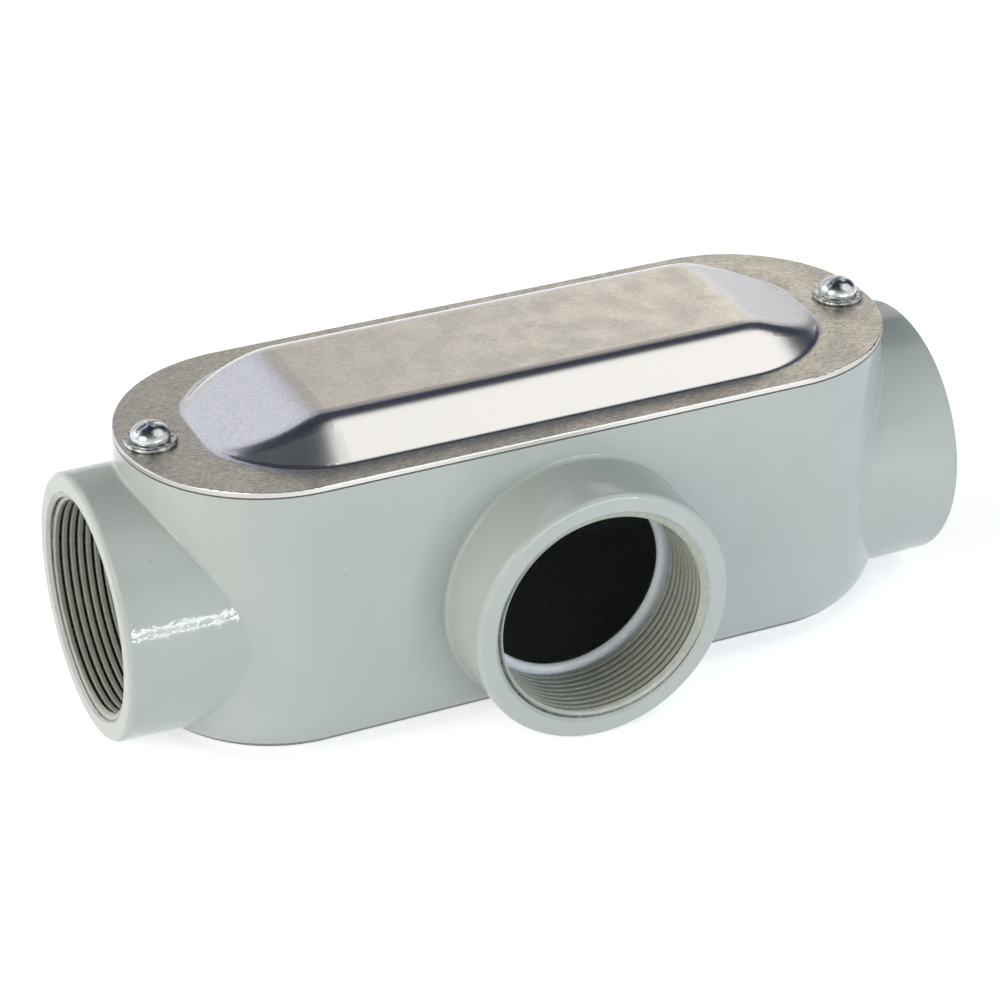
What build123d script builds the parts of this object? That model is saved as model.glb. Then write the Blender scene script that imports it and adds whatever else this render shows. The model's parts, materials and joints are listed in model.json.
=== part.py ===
from build123d import *
from math import copysign, radians, tan
import os

# Conduit body of the T pattern: a cast box with two hubs in line, one hub on its long side
# and an oval cover held by two screws. Millimetres and degrees.
# The origin is the centre of the flat back, +Z points to the cover, +X runs along the two
# hubs in line and -Y points out of the branch hub.

# Hubs, tapped for 2-inch conduit
thread_wall_radius = 30.1
thread_depth = 21.4
mouth_chamfer = 0.9
bushing_step = 3.8  # from the thread's wall in to the smooth bore of the bushing ring
bushing_round = 1.5  # radius of the ring's rounded edge, from the thread's end to the box
bushing_spare = 0.2  # straight stretch behind the rounded edge
hub_wall = 5.9  # at the face
hub_draft = 0.5
hub_projection = 12.5  # end hubs, beyond the ends of the rim
branch_projection = 20.8  # branch hub, beyond the side of the rim
hub_rim_radius = 1.6
hub_root_radius = 1.0
hub_back_gap = 0.04  # between the hubs' lowest line and the plane of the back
collar_wall = 3.9  # round the thread, where an end hub reaches into the box

# Cast box
body_half_straight = 68.5  # half of the straight sides, up to the round ends
rim_beyond_hub = 4.0  # half width of the rim less the hubs' radius
rim_above_hubs = 6.7
wall_thickness = 3.2  # at the rim
floor_thickness = 4.0
wall_draft = 2.4  # outside, from the parting plane to the rim and to the back
parting_relief = 0.25  # by which the swell at the parting plane is rounded off
core_draft = 0.8  # inside, from the rim to the floor
back_edge_radius = 13.0
floor_corner_radius = 9.0

# Gasket
gasket_thickness = 0.5
gasket_setback = 0.3  # from the casting's outline
gasket_ear_wall = 2.6  # rubber round each screw hole

# Cover, pressed from one sheet
cover_sheet = 1.4
cover_edge_radius = 0.3  # outer edge of the flange
flange_side_width = 7.8  # from the cover's side to the foot of the crown
flange_end_width = 19.9  # from the cover's end to the foot of the ramp
ramp_end_cut = 1.2  # by which the ramp shortens the crown's round end
crown_height = 9.1
crown_side_slope = 40.6
crown_ramp_slope = 19.8
crown_shoulder_radius = 10.0
crown_ramp_radius = 25.0  # where an end ramp bends into the flat top
crown_foot_radius = 3.0

# Cover screws, with their bosses
screw_setback = 8.2  # from the cover's end to the screw's centre
screw_shank_radius = 2.4
screw_length = 12.7  # under the head
screw_tip_chamfer = 0.6
tapped_hole_clearance = 0.05
tapped_hole_spare_depth = 1.0  # below the screw's tip
boss_wall = 2.8  # round each tapped hole
cover_hole_clearance = 0.4
head_radius = 5.3
head_rim_height = 0.7
head_dome_height = 3.7
head_foot_chamfer = 0.3
slot_width = 1.2
slot_depth = 1.5
recess_arm_width = 1.3
recess_span = 5.0
recess_depth = 2.4
recess_tip_width = 0.5
recess_tip_span = 1.0
left_slot_turn = 16  # of the slot, from the run
right_slot_turn = 22

# Washers
washer_radius = 7.0
washer_thickness = 1.2
washer_hole_clearance = 0.35
washer_edge_radius = 0.5

# Derived sizes of the casting
hub_radius = thread_wall_radius + hub_wall
rim_half_width = hub_radius + rim_beyond_hub
opening_half_width = rim_half_width - wall_thickness
run_face = body_half_straight + rim_half_width + hub_projection
branch_reach = rim_half_width + branch_projection
hub_reach = run_face - body_half_straight
hub_axis_height = hub_radius + hub_reach * tan(radians(hub_draft)) + hub_back_gap
rim_height = hub_axis_height + hub_radius + rim_above_hubs
parting_half_width = rim_half_width + (rim_height - hub_axis_height) * tan(radians(wall_draft))
lower_height = hub_axis_height / 2
upper_height = (hub_axis_height + rim_height) / 2
wall_heights = [0, lower_height, hub_axis_height, upper_height, rim_height]
bushing_bore_radius = thread_wall_radius - bushing_step
bushing_end = thread_depth + 2 * bushing_round + bushing_spare
collar_radius = thread_wall_radius + collar_wall
boss_height = rim_height - hub_axis_height - thread_wall_radius

# Derived heights and places of the cover and its screws
cover_seat = rim_height + gasket_thickness
flange_top = cover_seat + cover_sheet
washer_top = flange_top + washer_thickness
head_top = washer_top + head_rim_height + head_dome_height
screw_tip = washer_top - screw_length
screw_place = body_half_straight + rim_half_width - screw_setback
screw_places = {"left": (-screw_place, 0), "right": (screw_place, 0)}
slot_turns = {"left": left_slot_turn, "right": right_slot_turn}
crown_half_width = rim_half_width - flange_side_width
ramp_foot = body_half_straight + rim_half_width - flange_end_width
ramp_top = ramp_foot - crown_height / tan(radians(crown_ramp_slope))
crown_half_straight = ramp_foot + ramp_end_cut - crown_half_width

# Planes: the rim, looking down into the box, and the hub faces, looking in
rim_down = Plane(origin=(0, 0, rim_height), x_dir=(1, 0, 0), z_dir=(0, 0, -1))
left_face = Plane(origin=(-run_face, 0, hub_axis_height), x_dir=(0, -1, 0), z_dir=(1, 0, 0))
right_face = Plane(origin=(run_face, 0, hub_axis_height), x_dir=(0, 1, 0), z_dir=(-1, 0, 0))
branch_face = Plane(origin=(0, -branch_reach, hub_axis_height), x_dir=(1, 0, 0), z_dir=(0, 1, 0))
end_faces = [left_face, right_face]
hub_faces = [left_face, right_face, branch_face]

os.makedirs("parts", exist_ok=True)


def outside_half_width(height):
    """Half width of the box at a height: widest at the parting plane and drafted both ways."""
    from_parting = abs(height - hub_axis_height)
    relief = parting_relief if from_parting == 0 else 0
    return parting_half_width - from_parting * tan(radians(wall_draft)) - relief


def rings_on(part, planes, radius):
    """The circles of one radius that lie in one of some planes."""
    circles = part.edges().filter_by(GeomType.CIRCLE)
    return [
        circle
        for circle in circles
        if abs(circle.radius - radius) < 0.01
        and any(abs(plane.to_local_coords(circle.center(CenterOf.MASS)).Z) < 0.01 for plane in planes)
    ]


def lugs(radius, edge_gap):
    """Round-ended lugs in a sketch, from each screw's centre out to just inside the cover's end."""
    reach = screw_setback - edge_gap - radius
    for x, y in screw_places.values():
        with Locations((x + copysign(reach / 2, x), y)):
            SlotCenterToCenter(reach, 2 * radius)


# Core of the casting: the hollow of the box, drawn out through the rim. It leaves metal for
# the collars of the end hubs and for the screw bosses, and it carries the three bores.
with BuildPart() as core:
    with BuildSketch(rim_down):
        SlotCenterToCenter(2 * body_half_straight, 2 * opening_half_width)
    extrude(amount=rim_height - floor_thickness, taper=core_draft)
    fillet(core.faces().sort_by(Axis.Z)[0].edges(), floor_corner_radius)
    for end_face in end_faces:
        with BuildSketch(end_face):
            Circle(collar_radius)
        extrude(amount=bushing_end, mode=Mode.SUBTRACT)
    with BuildSketch(rim_down):
        lugs(screw_shank_radius + boss_wall, 0)
    extrude(amount=boss_height, mode=Mode.SUBTRACT)
    for hub_face in hub_faces:
        to_middle = Vector(hub_face.origin.X, hub_face.origin.Y).length
        with BuildSketch(Plane(origin=hub_face.origin, x_dir=(0, 0, 1), z_dir=-hub_face.x_dir)):
            with BuildLine():
                mouth = Polyline(
                    (0, to_middle),
                    (0, 0),
                    (thread_wall_radius + mouth_chamfer, 0),
                    (thread_wall_radius, mouth_chamfer),
                    (thread_wall_radius, thread_depth),
                    (bushing_bore_radius + bushing_round, thread_depth),
                )
                edge = RadiusArc(mouth @ 1, mouth @ 1 + Vector(0, 2 * bushing_round), bushing_round)
                Polyline(edge @ 1, (bushing_bore_radius + bushing_round, to_middle), (0, to_middle))
            make_face()
        revolve(axis=Axis(hub_face.origin, hub_face.z_dir))

# The casting: walls that swell to the parting plane, a well rounded back edge and three hubs
with BuildPart() as body_casting:
    for height in wall_heights:
        with BuildSketch(Plane.XY.offset(height)):
            SlotCenterToCenter(2 * body_half_straight, 2 * outside_half_width(height))
    loft()
    fillet(body_casting.faces().sort_by(Axis.Z)[0].edges(), back_edge_radius)
    for hub_face in hub_faces:
        with BuildSketch(hub_face):
            Circle(hub_radius)
        extrude(amount=hub_reach, taper=-hub_draft)
    hub_sides = body_casting.faces().filter_by(GeomType.CONE)
    fillet([root for side in hub_sides for root in side.edges().filter_by(GeomType.BSPLINE)], hub_root_radius)
    fillet(rings_on(body_casting, hub_faces, hub_radius), hub_rim_radius)
    add(core.part, mode=Mode.SUBTRACT)
    with BuildSketch(rim_down):
        with Locations(*screw_places.values()):
            Circle(screw_shank_radius + tapped_hole_clearance)
    extrude(amount=rim_height - screw_tip + tapped_hole_spare_depth, mode=Mode.SUBTRACT)
body_casting.part.label = "body_casting"
export_step(body_casting.part, "parts/body_casting.step")

# Gasket: a flat rubber ring with an ear round each screw
with BuildPart() as cover_gasket:
    with BuildSketch(Plane.XY.offset(rim_height)):
        SlotCenterToCenter(2 * body_half_straight, 2 * (rim_half_width - gasket_setback))
        SlotCenterToCenter(2 * body_half_straight, 2 * opening_half_width, mode=Mode.SUBTRACT)
        lugs(screw_shank_radius + gasket_ear_wall, gasket_setback)
        with Locations(*screw_places.values()):
            Circle(screw_shank_radius + cover_hole_clearance, mode=Mode.SUBTRACT)
    extrude(amount=gasket_thickness)
cover_gasket.part.label = "cover_gasket"
export_step(cover_gasket.part, "parts/cover_gasket.step")


def crown(base_height, inset):
    """Raised middle of the cover: steep sides, long flat end ramps and soft shoulders.

    inset is how far the form lies inside the sheet's outer face, measured square to it.
    """
    side_inset = inset * tan(radians(crown_side_slope / 2))
    ramp_inset = inset * tan(radians(crown_ramp_slope / 2))
    with BuildPart() as form:
        with BuildSketch(Plane.XY.offset(base_height)):
            SlotCenterToCenter(2 * crown_half_straight, 2 * (crown_half_width - side_inset))
        extrude(amount=crown_height, taper=90 - crown_side_slope)
        with BuildSketch(Plane.XZ) as ramps:
            with BuildLine():
                Polyline(
                    (-ramp_foot + ramp_inset, base_height),
                    (-ramp_top + ramp_inset, base_height + crown_height),
                    (ramp_top - ramp_inset, base_height + crown_height),
                    (ramp_foot - ramp_inset, base_height),
                    close=True,
                )
            make_face()
            fillet(ramps.vertices().sort_by(Axis.Y)[-2:], crown_ramp_radius - inset)
        extrude(amount=crown_half_width, both=True, mode=Mode.INTERSECT)
        bends = form.edges().filter_by(GeomType.LINE).filter_by(Axis.Y)
        shoulders = form.edges() - form.faces().sort_by(Axis.Z)[0].edges() - bends
        fillet(shoulders, crown_shoulder_radius - inset)
    return form.part


# Cover: a flange that follows the rim and a crown of the same sheet
with BuildPart() as cover:
    with BuildSketch(Plane.XY.offset(cover_seat)):
        SlotCenterToCenter(2 * body_half_straight, 2 * rim_half_width)
    extrude(amount=cover_sheet)
    add(crown(flange_top, 0))
    flange = cover.faces().filter_by_position(Axis.Z, flange_top, flange_top)[0]
    fillet(flange.inner_wires()[0].edges(), crown_foot_radius)
    flange = cover.faces().filter_by_position(Axis.Z, flange_top, flange_top)[0]
    fillet(flange.outer_wire().edges(), cover_edge_radius)
    add(crown(cover_seat, cover_sheet), mode=Mode.SUBTRACT)
    with BuildSketch(Plane.XY.offset(cover_seat)):
        with Locations(*screw_places.values()):
            Circle(screw_shank_radius + cover_hole_clearance)
    extrude(amount=cover_sheet, mode=Mode.SUBTRACT)
cover.part.label = "cover"
export_step(cover.part, "parts/cover.step")

for side, place in screw_places.items():
    # Flat washer with rounded edges, lying on the cover
    with BuildPart() as washer:
        with BuildSketch(Plane.XY.offset(flange_top)):
            with Locations(place):
                Circle(washer_radius)
                Circle(screw_shank_radius + washer_hole_clearance, mode=Mode.SUBTRACT)
        extrude(amount=washer_thickness)
        washer_planes = [Plane.XY.offset(flange_top), Plane.XY.offset(washer_top)]
        fillet(rings_on(washer, washer_planes, washer_radius), washer_edge_radius)
    washer.part.label = f"{side}_washer"
    export_step(washer.part, f"parts/{side}_washer.step")

    # Round-headed screw with a slot across its cross recess
    with BuildPart() as screw:
        with BuildSketch(Plane(origin=(*place, 0), x_dir=(1, 0, 0), z_dir=(0, -1, 0))):
            with BuildLine():
                dome_centre = (0, washer_top + head_rim_height)
                dome = EllipticalCenterArc(dome_centre, head_radius, head_dome_height, arc_size=90)
                Polyline(
                    dome @ 1,
                    (0, screw_tip),
                    (screw_shank_radius - screw_tip_chamfer, screw_tip),
                    (screw_shank_radius, screw_tip + screw_tip_chamfer),
                    (screw_shank_radius, washer_top),
                    (head_radius - head_foot_chamfer, washer_top),
                    (head_radius, washer_top + head_foot_chamfer),
                    dome @ 0,
                )
            make_face()
        revolve(axis=Axis((*place, 0), (0, 0, 1)))
        drive = Plane(origin=(*place, head_top)).rotated((0, 0, slot_turns[side]))
        with BuildSketch(drive):
            Rectangle(2 * head_radius, slot_width)
        extrude(amount=-slot_depth, mode=Mode.SUBTRACT)
        with BuildSketch(drive):
            Rectangle(recess_span, recess_arm_width)
            Rectangle(recess_arm_width, recess_span)
        with BuildSketch(drive.offset(-recess_depth)):
            Rectangle(recess_tip_span, recess_tip_width)
            Rectangle(recess_tip_width, recess_tip_span)
        loft(ruled=True, mode=Mode.SUBTRACT)
    screw.part.label = f"{side}_screw"
    export_step(screw.part, f"parts/{side}_screw.step")
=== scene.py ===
import json
import math

import bpy
from mathutils import Matrix, Vector

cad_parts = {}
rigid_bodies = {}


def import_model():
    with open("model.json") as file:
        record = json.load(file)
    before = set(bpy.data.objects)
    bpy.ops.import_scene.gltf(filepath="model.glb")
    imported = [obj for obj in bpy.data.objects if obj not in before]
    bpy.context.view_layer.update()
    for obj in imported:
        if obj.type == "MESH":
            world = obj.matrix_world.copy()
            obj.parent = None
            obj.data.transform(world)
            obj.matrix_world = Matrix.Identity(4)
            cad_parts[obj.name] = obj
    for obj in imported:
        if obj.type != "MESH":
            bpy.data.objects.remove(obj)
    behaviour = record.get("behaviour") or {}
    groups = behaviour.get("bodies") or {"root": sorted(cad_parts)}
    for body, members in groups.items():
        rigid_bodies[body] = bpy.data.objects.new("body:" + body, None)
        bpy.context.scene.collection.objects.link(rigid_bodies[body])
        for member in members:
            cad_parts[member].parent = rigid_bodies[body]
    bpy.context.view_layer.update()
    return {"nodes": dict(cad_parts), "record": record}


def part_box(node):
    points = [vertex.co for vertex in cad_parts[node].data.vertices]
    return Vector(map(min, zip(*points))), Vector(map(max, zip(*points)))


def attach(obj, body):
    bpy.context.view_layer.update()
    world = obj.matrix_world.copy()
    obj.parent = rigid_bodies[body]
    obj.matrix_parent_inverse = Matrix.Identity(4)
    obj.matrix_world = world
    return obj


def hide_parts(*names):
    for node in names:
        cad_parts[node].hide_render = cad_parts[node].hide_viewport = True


bl_info = {
    "name": "Conduit Body, T Pattern",
    "version": (1, 0, 0),
    "blender": (4, 5, 0),
    "location": "View3D > Sidebar > Conduit",
    "description": "Finishes a cast conduit body: enamel, hub threads, cover, screws and a studio",
    "category": "Object",
}

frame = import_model()

MM = 0.001  # in metres
HUBS = [mount for mount in frame["record"]["mounts"] if mount["kind"] == "threaded_hole"]
HUB_WALL = HUBS[0]["dims"]["r_mm"] * MM
HUB_AXIS_HEIGHT = HUBS[0]["pos_m"][2]
MOUTH_DEPTH = 1.0 * MM  # from a hub's face in to its mount
SUNK = 0.1 * MM  # by which a ridge reaches into its wall, so that it stands on it without a gap
WASHER_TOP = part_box("left_washer")[1].z
COVER_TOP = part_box("cover")[1].z


# Colours, selections and nodes

def linear(hex_colour):
    """The linear values of an sRGB hex colour."""
    values = [int(hex_colour[place:place + 2], 16) / 255 for place in (1, 3, 5)]
    return tuple(
        value / 12.92 if value <= 0.04045 else ((value + 0.055) / 1.055) ** 2.4 for value in values
    )


def deselect_all():
    if bpy.context.object and bpy.context.object.mode != "OBJECT":
        bpy.ops.object.mode_set(mode="OBJECT")
    bpy.ops.object.select_all(action="DESELECT")


def select_only(piece):
    deselect_all()
    piece.select_set(True)
    bpy.context.view_layer.objects.active = piece


def select_points(piece, keep):
    """Goes to edit mode with just those points selected whose place passes the test."""
    select_only(piece)
    bpy.ops.object.mode_set(mode="EDIT")
    bpy.ops.mesh.select_mode(type="VERT")
    bpy.ops.mesh.select_all(action="DESELECT")
    bpy.ops.object.mode_set(mode="OBJECT")
    for vertex in piece.data.vertices:
        vertex.select = keep(vertex.co)
    bpy.ops.object.mode_set(mode="EDIT")


def apply_modifiers(piece):
    select_only(piece)
    for modifier in list(piece.modifiers):
        bpy.ops.object.modifier_apply(modifier=modifier.name)


def copy_of(piece, name):
    """A copy with its own mesh."""
    twin = piece.copy()
    twin.data = piece.data.copy()
    twin.name = name
    twin.parent = None
    bpy.context.scene.collection.objects.link(twin)
    return twin


def place_in_mesh(piece, matrix):
    """Puts a piece in place by its points, and leaves its object at the origin."""
    piece.data.transform(matrix @ piece.matrix_world)
    piece.matrix_world = Matrix.Identity(4)
    piece.data.update()


def dress(piece, material):
    piece.data.materials.clear()
    piece.data.materials.append(material)


def add_node(tree, kind, inputs=None, **settings):
    """Adds a node with its settings, fills or links its inputs, and returns its outputs.

    Inputs go by name or number. A Map Range has its value at 0, the span it comes from at 1 and 2, and
    the span it goes to at 3 and 4. A Mix has its factor at 0, numbers at 2 and 3, and colours at 6 and 7.
    """
    node = tree.nodes.new(kind)
    for name, value in settings.items():
        setattr(node, name, value)
    for key, value in (inputs or {}).items():
        socket = node.inputs[key]
        if isinstance(value, bpy.types.NodeSocket):
            tree.links.new(value, socket)
        elif isinstance(value, str):
            socket.default_value = (*linear(value), 1)
        elif socket.type == "RGBA":
            socket.default_value = (*value[:3], 1)
        else:
            socket.default_value = value
    return node.outputs


def new_material(name):
    material = bpy.data.materials.new(name)
    material.use_nodes = True
    tree = material.node_tree
    tree.nodes.clear()
    shader = tree.nodes.new("ShaderNodeBsdfPrincipled")
    add_node(tree, "ShaderNodeOutputMaterial", {"Surface": shader.outputs["BSDF"]})
    return material, tree, shader


def patches(tree, place, width, low=0.0, high=1.0, detail=2.0):
    """Soft patches about so wide, in metres, whose value runs from low to high."""
    cloud = add_node(tree, "ShaderNodeTexNoise", {"Vector": place, "Scale": 1 / width, "Detail": detail})
    return add_node(
        tree, "ShaderNodeMapRange", {0: cloud[0], 1: 0.35, 2: 0.65, 3: low, 4: high},
        interpolation_type="SMOOTHSTEP",
    )[0]


def uneven(tree, shader, heights):
    """Adds one relief after another to a surface: (pattern, height in metres)."""
    normal = None
    for pattern, height in heights:
        inputs = {"Height": pattern, "Distance": height, "Strength": 1.0}
        if normal:
            inputs["Normal"] = normal
        normal = add_node(tree, "ShaderNodeBump", inputs)[0]
    tree.links.new(normal, shader.inputs["Normal"])


# Sizes and colours that a user would change

class ConduitEnamel(bpy.types.PropertyGroup):
    """Paint of the casting, and where its hollow lies."""

    colour: bpy.props.FloatVectorProperty(
        name="Enamel", description="Light grey of the enamel", subtype="COLOR", default=linear("#aeb6b4"),
    )
    thread_colour: bpy.props.FloatVectorProperty(
        name="On threads", description="Enamel rubbed thin on the hub threads", subtype="COLOR",
        default=linear("#a7ada4"),
    )
    # Painted shade: this near black stands in for the shade inside the closed box
    hollow_shade_colour: bpy.props.FloatVectorProperty(
        name="Inside", description="Near black of the hollow", subtype="COLOR", default=linear("#3c4144"),
    )
    ripple: bpy.props.FloatProperty(
        name="Ripple", description="Width of the enamel's ripples", unit="LENGTH", default=0.9 * MM,
    )
    half_straight: bpy.props.FloatProperty(
        name="Half straight", description="Half of the box's straight sides", unit="LENGTH",
        default=68.5 * MM,
    )
    half_hollow: bpy.props.FloatProperty(
        name="Half hollow", description="Half width of the hollow, up to the branch hub's ring",
        unit="LENGTH", default=37.9 * MM,
    )
    half_opening: bpy.props.FloatProperty(
        name="Half opening", description="Half width of the hollow at the rim", unit="LENGTH",
        default=36.9 * MM,
    )
    hollow_reach: bpy.props.FloatProperty(
        name="Hollow reach", description="From the middle to the end hubs' rings", unit="LENGTH",
        default=98.1 * MM,
    )


class ConduitThread(bpy.types.PropertyGroup):
    """Threads of the hubs and of the cover screws."""

    pitch: bpy.props.FloatProperty(
        name="Pitch", description="Rise in one turn", unit="LENGTH", default=25.4 / 11.5 * MM,
    )
    depth: bpy.props.FloatProperty(
        name="Depth", description="From the wall to the crest", unit="LENGTH", default=1.75 * MM,
    )
    mouth: bpy.props.FloatProperty(
        name="Mouth", description="Depth of the chamfer that trims the first ridge", unit="LENGTH",
        default=1.5 * MM,
    )
    turns: bpy.props.FloatProperty(name="Turns", description="Turns of the ridge", default=9.1, min=1)
    screw_pitch: bpy.props.FloatProperty(
        name="Screw pitch", description="Rise in one turn of a cover screw", unit="LENGTH",
        default=25.4 / 24 * MM,
    )
    screw_depth: bpy.props.FloatProperty(
        name="Screw depth", description="From a screw's core to its crests", unit="LENGTH",
        default=0.45 * MM,
    )


class ConduitMetal(bpy.types.PropertyGroup):
    """Finish of the cover and of its screws."""

    sheet_colour: bpy.props.FloatVectorProperty(
        name="Sheet", description="Warm grey of the rolled sheet", subtype="COLOR",
        default=linear("#d5d1c9"),
    )
    pressed_colour: bpy.props.FloatVectorProperty(
        name="Pressed", description="Brighter metal of the stretched slopes", subtype="COLOR",
        default=linear("#efeeee"),
    )
    zinc_colour: bpy.props.FloatVectorProperty(
        name="Zinc", description="Cool grey of the zinc where it is brightest", subtype="COLOR",
        default=linear("#dfe3e5"),
    )
    grain: bpy.props.FloatProperty(
        name="Grain", description="Width of the rolling grain", unit="LENGTH", default=0.35 * MM,
    )


class ConduitStage(bpy.types.PropertyGroup):
    """Camera and light."""

    lens: bpy.props.FloatProperty(
        name="Lens", description="Focal length in millimetres", unit="CAMERA", default=124.9,
    )
    yaw: bpy.props.FloatProperty(
        name="Yaw", description="Turn of the camera about the part", subtype="ANGLE",
        default=math.radians(-24.58),
    )
    pitch: bpy.props.FloatProperty(
        name="Pitch", description="Height of the camera above the horizon", subtype="ANGLE",
        default=math.radians(29.83),
    )
    distance: bpy.props.FloatProperty(
        name="Distance", description="From the camera to its target", unit="LENGTH", default=945.35 * MM,
    )
    target: bpy.props.FloatVectorProperty(
        name="Target", description="What the camera looks at", subtype="XYZ", unit="LENGTH",
        default=(-0.889 * MM, 2.769 * MM, 38.75 * MM),
    )
    fill: bpy.props.FloatProperty(
        name="Fill", description="Radiance of the lamp on the left", default=4.3, min=0.0,
    )


# Materials

def stoved_enamel():
    """Stoved enamel on cast aluminium: even, light grey and glossy enough to show soft streaks."""
    paint = bpy.context.scene.conduit_enamel
    material, tree, shader = new_material("stoved_enamel_on_cast_aluminium")
    place = add_node(tree, "ShaderNodeTexCoord")["Object"]
    x, y, z = add_node(tree, "ShaderNodeSeparateXYZ", {0: place})
    above_hubs = 66 * MM  # from here up the hollow counts as wide as its opening
    hub_reach = HUB_WALL + 1 * MM  # from the run's axis to just outside an end hub's bore
    painted_back = 2 * MM  # up to here the casting is painted
    ring_band = 0.8 * MM  # half width of the pale band on a ring, partly painted light

    level = add_node(tree, "ShaderNodeMath", {0: z, 1: HUB_AXIS_HEIGHT}, operation="SUBTRACT")[0]
    off_axes = []
    for side in (y, x):
        off_axis = add_node(tree, "ShaderNodeCombineXYZ", {0: side, 1: level})[0]
        off_axes.append(add_node(tree, "ShaderNodeVectorMath", {0: off_axis}, operation="LENGTH")["Value"])
    off_run, off_branch = off_axes

    # The hollow is painted near black, as painted shade for the inside of the closed box, up to the rings
    # of the hubs and to the rim
    along = add_node(tree, "ShaderNodeMath", {0: x}, operation="ABSOLUTE")[0]
    past = add_node(tree, "ShaderNodeMath", {0: along, 1: paint.half_straight}, operation="SUBTRACT")[0]
    past = add_node(tree, "ShaderNodeMath", {0: past, 1: 0.0}, operation="MAXIMUM")[0]
    from_spine = add_node(tree, "ShaderNodeCombineXYZ", {0: past, 1: y})[0]
    from_spine = add_node(tree, "ShaderNodeVectorMath", {0: from_spine}, operation="LENGTH")["Value"]
    limit = add_node(
        tree, "ShaderNodeMapRange",
        {0: z, 1: above_hubs, 2: above_hubs + 1 * MM, 3: paint.half_hollow, 4: paint.half_opening},
    )[0]
    inside = add_node(tree, "ShaderNodeMath", {0: from_spine, 1: limit}, operation="LESS_THAN")[0]
    off_hub = add_node(tree, "ShaderNodeMath", {0: off_run, 1: hub_reach}, operation="GREATER_THAN")[0]
    short_of_hub = add_node(
        tree, "ShaderNodeMath", {0: along, 1: paint.hollow_reach}, operation="LESS_THAN",
    )[0]
    not_in_hub = add_node(tree, "ShaderNodeMath", {0: off_hub, 1: short_of_hub}, operation="MAXIMUM")[0]
    not_back = add_node(tree, "ShaderNodeMath", {0: z, 1: painted_back}, operation="GREATER_THAN")[0]
    for within in (not_in_hub, not_back):
        inside = add_node(tree, "ShaderNodeMath", {0: inside, 1: within}, operation="MULTIPLY")[0]

    # The ring at the inner end of each thread is pale bluish white, partly painted light for its outward
    # face, with sand in it
    rings = []
    out = add_node(tree, "ShaderNodeMath", {0: y, 1: -1.0}, operation="MULTIPLY")[0]
    for depth, off_axis, edge in (
        (along, off_run, paint.hollow_reach), (out, off_branch, paint.half_hollow),
    ):
        in_bore = add_node(tree, "ShaderNodeMath", {0: off_axis, 1: HUB_WALL}, operation="LESS_THAN")[0]
        at_ring = add_node(
            tree, "ShaderNodeMath", {0: depth, 1: edge + ring_band, 2: ring_band}, operation="COMPARE",
        )[0]
        rings.append(add_node(tree, "ShaderNodeMath", {0: in_bore, 1: at_ring}, operation="MULTIPLY")[0])
    ring = add_node(tree, "ShaderNodeMath", {0: rings[0], 1: rings[1]}, operation="MAXIMUM")[0]

    # The tone drifts over 24 mm, and specks of dust, 0.5 mm wide, lie about 13 mm apart. Grains of moulding
    # sand are too fine to show in the render, so they are drawn as coarse as 0.7 mm
    cloud = patches(tree, place, 24 * MM, 0.0, 0.5)
    colour = add_node(tree, "ShaderNodeMix", {0: cloud, 6: paint.colour, 7: "#b4bcbb"}, data_type="RGBA")[2]
    dust = add_node(tree, "ShaderNodeTexVoronoi", {"Vector": place, "Scale": 1 / (13 * MM)})["Distance"]
    speck = add_node(tree, "ShaderNodeMapRange", {0: dust, 1: 0.016, 2: 0.024, 3: 0.5, 4: 0.0})[0]
    grit = patches(tree, place, 0.7 * MM, detail=3)
    # Painted shade: the hollow's near black, flecked lighter where the grit lies
    hollow_shade = add_node(
        tree, "ShaderNodeMix", {0: grit, 6: paint.hollow_shade_colour, 7: "#575d61"}, data_type="RGBA",
    )[2]
    # The pale ring is partly painted light, and the near black of the hollow is painted shade
    for amount, other in ((speck, "#5a5b55"), (ring, "#e4ebf0"), (inside, hollow_shade)):
        colour = add_node(tree, "ShaderNodeMix", {0: amount, 6: colour, 7: other}, data_type="RGBA")[2]
    tree.links.new(colour, shader.inputs["Base Color"])

    gloss = patches(tree, place, 7 * MM, 0.07, 0.11)
    rough = add_node(tree, "ShaderNodeMix", {0: inside, 2: gloss, 3: 0.4}, data_type="FLOAT")[0]
    tree.links.new(rough, shader.inputs["Roughness"])
    shader.inputs["IOR"].default_value = 1.5

    # The enamel lies in swells of 15 mm and in fine ripples that ran down the walls before it set
    sand = add_node(tree, "ShaderNodeMath", {0: grit, 1: ring}, operation="MULTIPLY")[0]
    drawn_down = add_node(tree, "ShaderNodeMapping", {"Vector": place, "Scale": (1, 0.4, 0.4)})[0]
    peel = patches(tree, drawn_down, paint.ripple, detail=1)
    swell = patches(tree, place, 15 * MM, detail=1)
    uneven(tree, shader, ((swell, 0.05 * MM), (peel, 0.018 * MM), (sand, 0.08 * MM)))
    return material


def enamel_on_threads():
    """The same enamel on cut threads, rubbed thin and duller, with metal dust in it."""
    paint = bpy.context.scene.conduit_enamel
    material, tree, shader = new_material("thin_enamel_on_cut_threads")
    place = add_node(tree, "ShaderNodeTexCoord")["Object"]

    # Dust lies in patches of 1.2 mm, and the roots are darkened as painted shade in the grooves: it thins
    # out from 0.45 to 0.85 of the rise from wall to crest
    dust = patches(tree, place, 1.2 * MM, 0.0, 0.35, detail=3)
    rise = add_node(tree, "ShaderNodeAttribute", attribute_name="rise")["Fac"]
    root = add_node(tree, "ShaderNodeMapRange", {0: rise, 1: 0.45, 2: 0.85, 3: 1.0, 4: 0.0})[0]
    colour = add_node(
        tree, "ShaderNodeMix", {0: root, 6: paint.thread_colour, 7: "#20231e"}, data_type="RGBA",
    )[2]
    colour = add_node(tree, "ShaderNodeMix", {0: dust, 6: colour, 7: "#8b8d83"}, data_type="RGBA")[2]
    tree.links.new(colour, shader.inputs["Base Color"])
    shader.inputs["Roughness"].default_value = 0.25
    shader.inputs["IOR"].default_value = 1.5
    uneven(tree, shader, ((dust, 0.03 * MM),))
    return material


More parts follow.
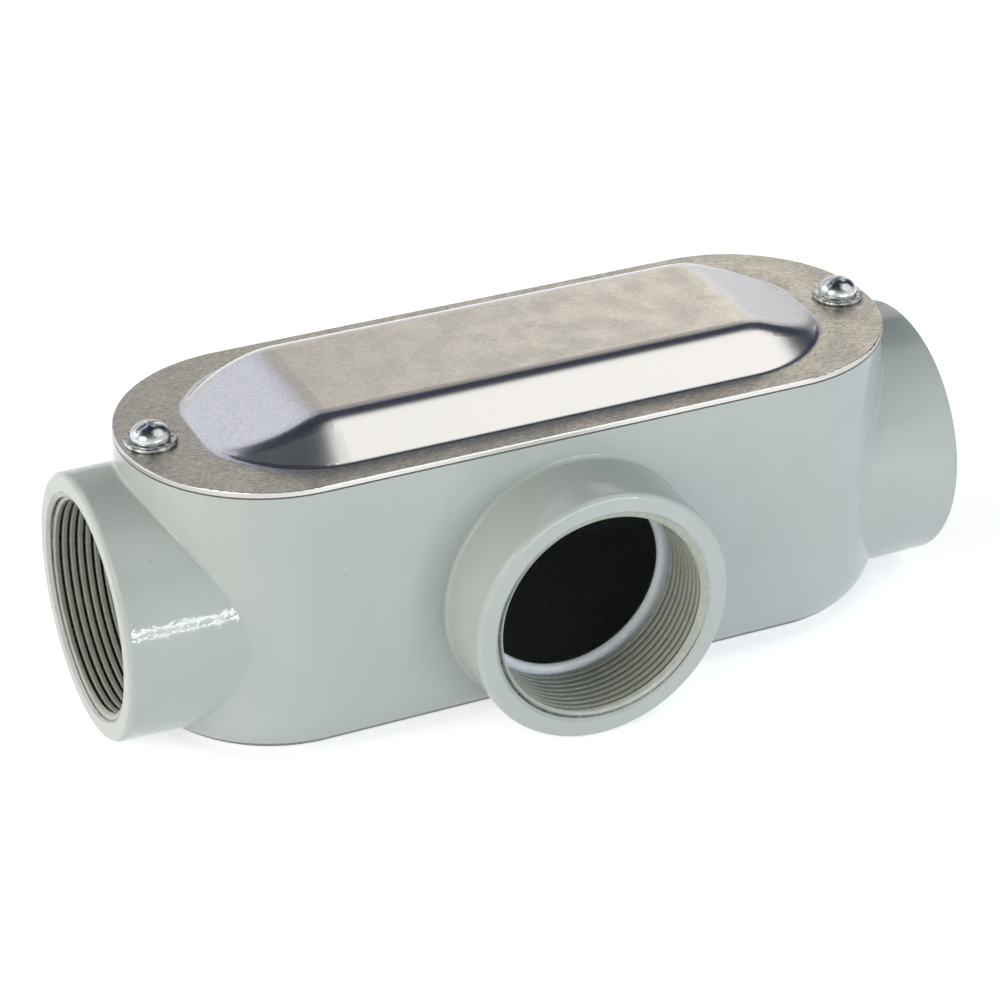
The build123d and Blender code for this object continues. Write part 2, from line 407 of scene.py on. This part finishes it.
def pressed_aluminium():
    """Rolled aluminium sheet: a warm satin grain, bright and smooth where the press stretched it."""
    metal = bpy.context.scene.conduit_metal
    material, tree, shader = new_material("rolled_and_pressed_aluminium")
    place = add_node(tree, "ShaderNodeTexCoord")["Object"]

    # The press polished what it tilted, more and more from 3 to 13 degrees, but the end ramps, which lean
    # along the run and hardly across it, stayed satin
    level, steep = 0.9985, 0.975  # upright part of the normal at 3 and 13 degrees
    end_ramp, long_slope = 0.10, 0.24  # part of the normal across the run
    facing = add_node(
        tree, "ShaderNodeSeparateXYZ", {0: add_node(tree, "ShaderNodeNewGeometry")["Normal"]},
    )
    sideways = add_node(tree, "ShaderNodeMath", {0: facing["Y"]}, operation="ABSOLUTE")[0]
    upright = facing["Z"]
    tilted = add_node(
        tree, "ShaderNodeMapRange", {0: upright, 1: level, 2: steep, 3: 0.0, 4: 1.0},
        interpolation_type="SMOOTHSTEP",
    )[0]
    end_on = add_node(
        tree, "ShaderNodeMapRange", {0: sideways, 1: end_ramp, 2: long_slope, 3: 1.0, 4: 0.0},
        interpolation_type="SMOOTHSTEP",
    )[0]
    satin = add_node(tree, "ShaderNodeMath", {0: tilted, 1: end_on}, operation="MULTIPLY")[0]
    bright = add_node(tree, "ShaderNodeMath", {0: tilted, 1: satin}, operation="SUBTRACT")[0]
    flat = add_node(tree, "ShaderNodeMath", {0: 1.0, 1: tilted}, operation="SUBTRACT")[0]

    # The flange under the press's pad stayed darker than the crown. The sheared edge, whose normal lies
    # nearly level, is as dull as the dullest of the sheet
    height = add_node(tree, "ShaderNodeSeparateXYZ", {0: place})["Z"]
    crown_foot = COVER_TOP - 7 * MM
    crown_shoulder = COVER_TOP - 3 * MM
    crown = add_node(
        tree, "ShaderNodeMapRange", {0: height, 1: crown_foot, 2: crown_shoulder, 3: 0.0, 4: 1.0},
    )[0]
    sheared = add_node(tree, "ShaderNodeMapRange", {0: upright, 1: 0.1, 2: 0.3, 3: 1.0, 4: 0.0})[0]

    # Hands left clouds of 14 mm and stains of 7 mm, which the crown kept a quarter of. The rolling grain
    # and the sparkle of the stretched metal are finer than a pixel of the render, so both are drawn as
    # coarse as 0.35 mm to show
    cloud = patches(tree, place, 14 * MM, detail=4)
    stain = patches(tree, place, 7 * MM, detail=5)
    rolled_way = add_node(tree, "ShaderNodeMapping", {"Vector": place, "Scale": (0.25, 1, 1)})[0]
    grain = patches(tree, rolled_way, metal.grain, detail=3)
    sparkle = patches(tree, place, 0.35 * MM, detail=2)
    colour = add_node(
        tree, "ShaderNodeMix", {0: crown, 6: "#afaba2", 7: metal.sheet_colour}, data_type="RGBA",
    )[2]
    kept = add_node(tree, "ShaderNodeMapRange", {0: crown, 1: 0.0, 2: 1.0, 3: 1.0, 4: 0.25})[0]
    stain = add_node(tree, "ShaderNodeMath", {0: stain, 1: kept}, operation="MULTIPLY")[0]
    marks = ((cloud, 0.12, "#f0ede7"), (stain, 0.3, "#a39e92"), (grain, 0.5, "#fbf8f2"))
    for pattern, share, other in marks:
        amount = add_node(tree, "ShaderNodeMath", {0: pattern, 1: share}, operation="MULTIPLY")[0]
        colour = add_node(tree, "ShaderNodeMix", {0: amount, 6: colour, 7: other}, data_type="RGBA")[2]
    drawn = add_node(tree, "ShaderNodeMix", {0: sparkle, 6: "#d3d5dc", 7: "#f6f6f8"}, data_type="RGBA")[2]
    for amount, other in ((satin, drawn), (bright, metal.pressed_colour), (sheared, "#cfcdc8")):
        colour = add_node(tree, "ShaderNodeMix", {0: amount, 6: colour, 7: other}, data_type="RGBA")[2]
    tree.links.new(colour, shader.inputs["Base Color"])
    shader.inputs["Metallic"].default_value = 1.0

    rough = patches(tree, place, 9 * MM, 0.33, 0.40, detail=3)
    for amount, other in ((satin, 0.36), (bright, 0.22), (sheared, 0.4)):
        rough = add_node(tree, "ShaderNodeMix", {0: amount, 2: rough, 3: other}, data_type="FLOAT")[0]
    tree.links.new(rough, shader.inputs["Roughness"])
    grain = add_node(tree, "ShaderNodeMath", {0: grain, 1: flat}, operation="MULTIPLY")[0]
    sparkle = add_node(tree, "ShaderNodeMath", {0: sparkle, 1: satin}, operation="MULTIPLY")[0]
    uneven(tree, shader, ((cloud, 0.006 * MM), (grain, 0.005 * MM), (sparkle, 0.006 * MM)))
    return material


def zinc_plate(name, shade, rough):
    """Zinc plate on steel: cool and nearly a mirror on the heads, rubbed dull on the washers."""
    metal = bpy.context.scene.conduit_metal
    material, tree, shader = new_material(name)
    place = add_node(tree, "ShaderNodeTexCoord")["Object"]
    haze = patches(tree, place, 1.5 * MM, detail=3)  # handling left the plate hazy in spots of 1.5 mm
    colour = add_node(tree, "ShaderNodeMix", {0: haze, 6: shade, 7: metal.zinc_colour}, data_type="RGBA")[2]
    tree.links.new(colour, shader.inputs["Base Color"])
    shader.inputs["Metallic"].default_value = 1.0
    tree.links.new(patches(tree, place, 2 * MM, rough, rough + 0.08), shader.inputs["Roughness"])
    uneven(tree, shader, ((haze, 0.015 * MM),))
    return material


def die_cut_rubber():
    """Rubber sheet, cut to shape: matt and dark grey."""
    material, tree, shader = new_material("die_cut_rubber")
    place = add_node(tree, "ShaderNodeTexCoord")["Object"]
    chalk = patches(tree, place, 0.9 * MM, detail=3)  # parting dust, in patches of 0.9 mm
    colour = add_node(tree, "ShaderNodeMix", {0: chalk, 6: "#474947", 7: "#585a57"}, data_type="RGBA")[2]
    tree.links.new(colour, shader.inputs["Base Color"])
    shader.inputs["Roughness"].default_value = 0.75
    return material


def studio_paper():
    """White paper, matt. It glows a little to the camera and in mirrors, so that it reads as white."""
    glow = 0.6
    material, tree, shader = new_material("white_studio_paper")
    shader.inputs["Base Color"].default_value = (*linear("#ebeef2"), 1)
    shader.inputs["Roughness"].default_value = 1.0
    shader.inputs["Specular IOR Level"].default_value = 0.0
    rays = add_node(tree, "ShaderNodeLightPath")
    seen = add_node(
        tree, "ShaderNodeMath", {0: rays["Is Camera Ray"], 1: rays["Is Glossy Ray"]}, operation="MAXIMUM",
    )[0]
    seen = add_node(
        tree, "ShaderNodeMath", {0: seen, 1: rays["Is Transmission Ray"]}, operation="MAXIMUM",
    )[0]
    seen_glow = add_node(tree, "ShaderNodeMath", {0: seen, 1: glow}, operation="MULTIPLY")[0]
    shader.inputs["Emission Color"].default_value = (1, 1, 1, 1)
    tree.links.new(seen_glow, shader.inputs["Emission Strength"])
    return material


# Operators

class CONDUIT_OT_finish_casting(bpy.types.Operator):
    """Paint the casting, with painted shade in near black inside"""

    bl_idname = "conduit.finish_casting"
    bl_label = "Finish the casting"

    def execute(self, context):
        dress(frame["nodes"]["body_casting"], stoved_enamel())
        return {"FINISHED"}


def wind_ridge(name, pitch, wall, crest, turns, steps, crest_share):
    """A thread's ridge wound about the Z axis, which fades into the wall at both ends.

    Steps are those of one turn, and crest_share is the width of the crest over that of the root.
    """
    root_width = 0.95 * pitch
    rounding = 0.12 * pitch
    sunk = wall + math.copysign(SUNK, wall - crest)
    deselect_all()
    bpy.ops.mesh.primitive_plane_add(
        size=1, location=((sunk + crest) / 2, 0, 0), rotation=(math.pi / 2, 0, 0),
    )
    ridge = bpy.context.object
    ridge.name = name
    ridge.scale = (abs(sunk - crest), root_width, 1)
    bpy.ops.object.transform_apply(location=True, rotation=True, scale=True)
    select_points(ridge, lambda point: abs(point.x - crest) < abs(point.x - sunk))
    bpy.ops.transform.resize(value=(1, 1, crest_share), center_override=(0, 0, 0))
    bpy.ops.mesh.bevel(offset=rounding, segments=3, affect="VERTICES")
    bpy.ops.object.mode_set(mode="OBJECT")
    profile_points = len(ridge.data.vertices)
    winding = ridge.modifiers.new("winding", "SCREW")
    rings = round(steps * turns)
    winding.steps = rings
    winding.render_steps = rings
    winding.angle = 2 * math.pi * turns
    winding.screw_offset = pitch * turns
    winding.use_merge_vertices = False
    winding.use_smooth_shade = True
    apply_modifiers(ridge)

    fade = steps / 5  # steps over which each end runs out
    rise = ridge.data.attributes.new("rise", "FLOAT", "POINT")
    for vertex in ridge.data.vertices:
        step = vertex.index // profile_points
        share = min(1, step / fade, (rings - step) / fade)
        radius = math.hypot(vertex.co.x, vertex.co.y)
        rise.data[vertex.index].value = (radius - sunk) / (crest - sunk)
        factor = (sunk + (radius - sunk) * share) / radius
        vertex.co.x *= factor
        vertex.co.y *= factor
    select_points(ridge, lambda point: True)
    bpy.ops.mesh.normals_make_consistent(inside=False)
    bpy.ops.object.mode_set(mode="OBJECT")
    return ridge


def trim_to_mouth(ridge, mouth):
    """Cuts a ridge off just inside a hub's face, at Z = 0, and leans its start back behind the chamfer."""
    edge = 0.3 * MM  # from the face to the cut
    select_points(ridge, lambda point: True)
    bpy.ops.mesh.bisect(plane_co=(0, 0, edge), plane_no=(0, 0, 1), clear_inner=True)
    bpy.ops.mesh.normals_make_consistent(inside=False)
    bpy.ops.object.mode_set(mode="OBJECT")
    for vertex in ridge.data.vertices:
        share = min(1, (vertex.co.z - edge) / (mouth - edge))
        radius = math.hypot(vertex.co.x, vertex.co.y)
        behind = HUB_WALL + SUNK + max(0, MOUTH_DEPTH - vertex.co.z)
        factor = (behind + (radius - behind) * share) / radius
        vertex.co.x *= factor
        vertex.co.y *= factor


class CONDUIT_OT_cut_hub_threads(bpy.types.Operator):
    """Wind a thread's ridge into each hub"""

    bl_idname = "conduit.cut_hub_threads"
    bl_label = "Cut the hub threads"

    def execute(self, context):
        thread = context.scene.conduit_thread
        ridge = wind_ridge(
            "thread", thread.pitch, wall=HUB_WALL, crest=HUB_WALL - thread.depth, turns=thread.turns,
            steps=96, crest_share=0.6,
        )
        trim_to_mouth(ridge, thread.mouth)
        dress(ridge, enamel_on_threads())
        for hub in HUBS:
            outward = Vector(hub["axis"])
            face = Vector(hub["pos_m"]) + outward * MOUTH_DEPTH
            turn = (-outward).to_track_quat("Z", "Y").to_matrix().to_4x4()
            winding = copy_of(ridge, hub["name"] + "_thread")
            place_in_mesh(winding, Matrix.Translation(face) @ turn)
            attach(winding, "casting")
        bpy.data.objects.remove(ridge)
        return {"FINISHED"}


class CONDUIT_OT_finish_cover(bpy.types.Operator):
    """Give the cover its rolled grain and pressed slopes, and the gasket its rubber"""

    bl_idname = "conduit.finish_cover"
    bl_label = "Finish the cover and gasket"

    def execute(self, context):
        dress(frame["nodes"]["cover"], pressed_aluminium())
        dress(frame["nodes"]["cover_gasket"], die_cut_rubber())
        return {"FINISHED"}


class CONDUIT_OT_finish_screws(bpy.types.Operator):
    """Round the edges of the cover screws, cut their threads, and plate them and the washers"""

    bl_idname = "conduit.finish_screws"
    bl_label = "Finish the screws and washers"

    def execute(self, context):
        thread = context.scene.conduit_thread
        zinc = zinc_plate("bright_zinc_on_steel", "#ced3d5", 0.17)
        dull_zinc = zinc_plate("dull_zinc_on_steel", "#8f8c85", 0.28)
        under_head = WASHER_TOP - 1 * MM
        for side in ("left", "right"):
            dress(frame["nodes"][side + "_washer"], dull_zinc)
            low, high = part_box(side + "_screw")
            axis = Vector(((low.x + high.x) / 2, (low.y + high.y) / 2, 0))
            screw = copy_of(frame["nodes"][side + "_screw"], side + "_screw_finished")
            place_in_mesh(screw, Matrix.Translation(-axis))
            shank = max(
                math.hypot(vertex.co.x, vertex.co.y)
                for vertex in screw.data.vertices if vertex.co.z < under_head
            )
            core = shank - thread.screw_depth
            crest = shank - 0.02 * MM  # just inside the plain shank, which fills its hole

            # The shank shrinks to the thread's core, and the edges of the head are rounded
            select_points(screw, lambda point: True)
            bpy.ops.mesh.remove_doubles(threshold=0.001 * MM)
            bpy.ops.mesh.dissolve_limited(angle_limit=math.radians(0.5))
            select_points(screw, lambda point: point.z < WASHER_TOP - 0.1 * MM)
            bpy.ops.transform.resize(value=(core / shank, core / shank, 1), center_override=(0, 0, 0))
            bpy.ops.object.mode_set(mode="OBJECT")
            soft = screw.modifiers.new("soft edges", "BEVEL")
            soft.width = 0.12 * MM
            soft.segments = 3
            soft.limit_method = "ANGLE"
            soft.angle_limit = math.radians(38)
            apply_modifiers(screw)

            turns = int((WASHER_TOP - low.z) / thread.screw_pitch) - 1
            first_turn = low.z + 0.7 * thread.screw_pitch
            ridge = wind_ridge(
                "screw thread", thread.screw_pitch, wall=core, crest=crest, turns=turns, steps=32,
                crest_share=0.28,
            )
            place_in_mesh(ridge, Matrix.Translation((0, 0, first_turn)))
            for piece in (screw, ridge):
                dress(piece, zinc)
            select_only(screw)
            ridge.select_set(True)
            bpy.ops.object.join()
            bpy.ops.object.shade_smooth_by_angle(angle=math.radians(35))
            place_in_mesh(screw, Matrix.Translation(axis))
            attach(screw, side + "_screw")
            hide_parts(side + "_screw")
        return {"FINISHED"}


def light_room(world):
    """A studio room: pale grey walls behind, paler ones in front, a dark ceiling and a few soft patches."""
    world.use_nodes = True
    tree = world.node_tree
    tree.nodes.clear()
    way = add_node(tree, "ShaderNodeTexCoord")["Generated"]
    way_parts = add_node(tree, "ShaderNodeSeparateXYZ", {0: way})

    # Colours by height, from the horizon at 0 to straight above at 1
    bands = {
        "behind": ((0.0, "#dcdfe5"), (0.22, "#dbdcde"), (0.40, "#d3cec4"), (0.50, "#aca89f"),
                   (0.58, "#9c9ca4"), (0.66, "#757b90"), (0.76, "#2c3346"), (1.0, "#2a2f3a")),
        "front": ((0.0, "#eef2f5"), (0.35, "#e6ecf0"), (0.55, "#b0b5b5"), (0.80, "#6a726f"),
                  (1.0, "#2a2f3a")),
    }
    # Soft patches of the room: way to the middle, degrees from there to the core's edge and to the rim,
    # colour, radiance
    spots = (
        ((0.55, 0.73, 0.42), 8, 18, "#fffaf0", 1.4),
        ((-0.12, 0.74, 0.66), 9, 20, "#f0f2ff", 1.0),
        ((0.80, 0.38, 0.46), 14, 26, "#2a3144", 1.0),
        ((0.47, 0.52, 0.71), 6, 16, "#2a3144", 1.0),
        ((-0.72, 0.54, 0.44), 14, 28, "#ffffff", 1.6),
        ((0.56, -0.26, 0.79), 19, 30, "#fffdf8", 1.1),
        ((-0.80, -0.32, 0.46), 10, 21, "#fff7ea", 3.0),
    )
    colours = {}
    for name, stops in bands.items():
        colours[name] = add_node(tree, "ShaderNodeValToRGB", {0: way_parts["Z"]})[0]
        ramp = colours[name].node.color_ramp
        while len(ramp.elements) < len(stops):
            ramp.elements.new(0.5)
        for element, (position, colour) in zip(ramp.elements, stops):
            element.position = position
            element.color = (*linear(colour), 1)

    # The front takes over as the way turns to the viewer's side
    forward = add_node(
        tree, "ShaderNodeMapRange", {0: way_parts["Y"], 1: 0.15, 2: -0.35, 3: 0.0, 4: 1.0},
        interpolation_type="SMOOTHSTEP",
    )[0]
    room = add_node(
        tree, "ShaderNodeMix", {0: forward, 6: colours["behind"], 7: colours["front"]}, data_type="RGBA",
    )[2]
    for middle, core, rim, colour, radiance in spots:
        near = add_node(
            tree, "ShaderNodeVectorMath", {0: way, 1: Vector(middle).normalized()}, operation="DOT_PRODUCT",
        )["Value"]
        share = add_node(
            tree, "ShaderNodeMapRange",
            {0: near, 1: math.cos(math.radians(rim)), 2: math.cos(math.radians(core)), 3: 0.0, 4: 1.0},
            interpolation_type="SMOOTHSTEP",
        )[0]
        light = [radiance * value for value in linear(colour)]
        room = add_node(tree, "ShaderNodeMix", {0: share, 6: room, 7: light}, data_type="RGBA")[2]
    backdrop = add_node(tree, "ShaderNodeBackground", {"Color": room, "Strength": 1.0})[0]
    add_node(tree, "ShaderNodeOutputWorld", {"Surface": backdrop})


class CONDUIT_OT_set_stage(bpy.types.Operator):
    """Lay the floor, hang the lamps, and set the camera and the room round them"""

    bl_idname = "conduit.set_stage"
    bl_label = "Set the stage"

    def execute(self, context):
        scene = context.scene
        stage = scene.conduit_stage
        deselect_all()
        floor_size = 12.0  # metres, so that views from 11 degrees up and higher don't show its edge
        bpy.ops.mesh.primitive_plane_add(size=floor_size, location=(0, 0, 0))
        floor = context.object
        floor.name = "studio_floor"
        dress(floor, studio_paper())

        # Way from the part, way of the long side, distance and sizes in metres, radiance, colour, and
        # whether the part mirrors it
        white, warm, cool = "#ffffff", "#fff3df", "#eaf3ff"
        lamps = {
            "upper strip": ((0.22, -0.97, 0.04), (1.0, 0.25, 0.0), 0.6, (0.36, 0.030), 14.0, white, True),
            "lower strip": ((0.22, -0.97, -0.06), (1.0, 0.25, 0.0), 0.6, (0.36, 0.024), 17.0, white, True),
            "left fill": ((-0.97, -0.15, 0.14), (0.2, -1.0, 0.0), 1.2, (0.9, 0.5), stage.fill, warm, False),
            "right fill": ((0.55, -0.80, 0.10), (0.8, 0.55, 0.0), 0.7, (0.4, 0.3), 1.6, cool, False),
        }
        aim = Vector((0, 0, 40 * MM))  # inside the part, at about half its height
        for name, (way, along, distance, size, radiance, colour, mirrored) in lamps.items():
            way = Vector(way).normalized()
            across = way.cross(Vector(along)).normalized()
            turn = Matrix((across.cross(way), across, way)).transposed()
            bpy.ops.object.light_add(type="AREA", location=aim + way * distance, rotation=turn.to_euler())
            lamp = context.object
            lamp.name = name
            lamp.data.shape = "RECTANGLE"
            lamp.data.size, lamp.data.size_y = size
            lamp.data.energy = radiance * math.pi * size[0] * size[1]  # watts
            lamp.data.color = linear(colour)
            lamp.visible_glossy = mirrored
            lamp.visible_camera = False

        back = Vector((
            math.sin(stage.yaw) * math.cos(stage.pitch),
            -math.cos(stage.yaw) * math.cos(stage.pitch),
            math.sin(stage.pitch),
        ))
        bpy.ops.object.camera_add(
            location=Vector(stage.target) + back * stage.distance,
            rotation=(-back).to_track_quat("-Z", "Y").to_euler(),
        )
        camera = context.object
        camera.name = "product camera"
        camera.data.lens = stage.lens
        camera.data.sensor_width = 36
        camera.data.clip_start = 0.01
        scene.camera = camera

        scene.world = bpy.data.worlds.new("studio room")
        light_room(scene.world)
        scene.view_settings.view_transform = "Standard"
        return {"FINISHED"}


GROUPS = {
    "conduit_enamel": ConduitEnamel,
    "conduit_thread": ConduitThread,
    "conduit_metal": ConduitMetal,
    "conduit_stage": ConduitStage,
}
OPERATORS = (
    CONDUIT_OT_finish_casting,
    CONDUIT_OT_cut_hub_threads,
    CONDUIT_OT_finish_cover,
    CONDUIT_OT_finish_screws,
    CONDUIT_OT_set_stage,
)


class CONDUIT_PT_panel(bpy.types.Panel):
    """Sizes, colours and steps of the conduit body"""

    bl_idname = "CONDUIT_PT_panel"
    bl_label = "Conduit body"
    bl_space_type = "VIEW_3D"
    bl_region_type = "UI"
    bl_category = "Conduit"

    def draw(self, context):
        for name, group in GROUPS.items():
            box = self.layout.box()
            for field in group.__annotations__:
                box.prop(getattr(context.scene, name), field)
        for operator in OPERATORS:
            self.layout.operator(operator.bl_idname)


def register():
    for name, group in GROUPS.items():
        bpy.utils.register_class(group)
        setattr(bpy.types.Scene, name, bpy.props.PointerProperty(type=group))
    for item in (*OPERATORS, CONDUIT_PT_panel):
        bpy.utils.register_class(item)


def unregister():
    for item in reversed((*OPERATORS, CONDUIT_PT_panel)):
        bpy.utils.unregister_class(item)
    for name, group in GROUPS.items():
        delattr(bpy.types.Scene, name)
        bpy.utils.unregister_class(group)


def main():
    register()
    bpy.ops.conduit.finish_casting()
    bpy.ops.conduit.cut_hub_threads()
    bpy.ops.conduit.finish_cover()
    bpy.ops.conduit.finish_screws()
    bpy.ops.conduit.set_stage()


if __name__ == "__main__":
    main()
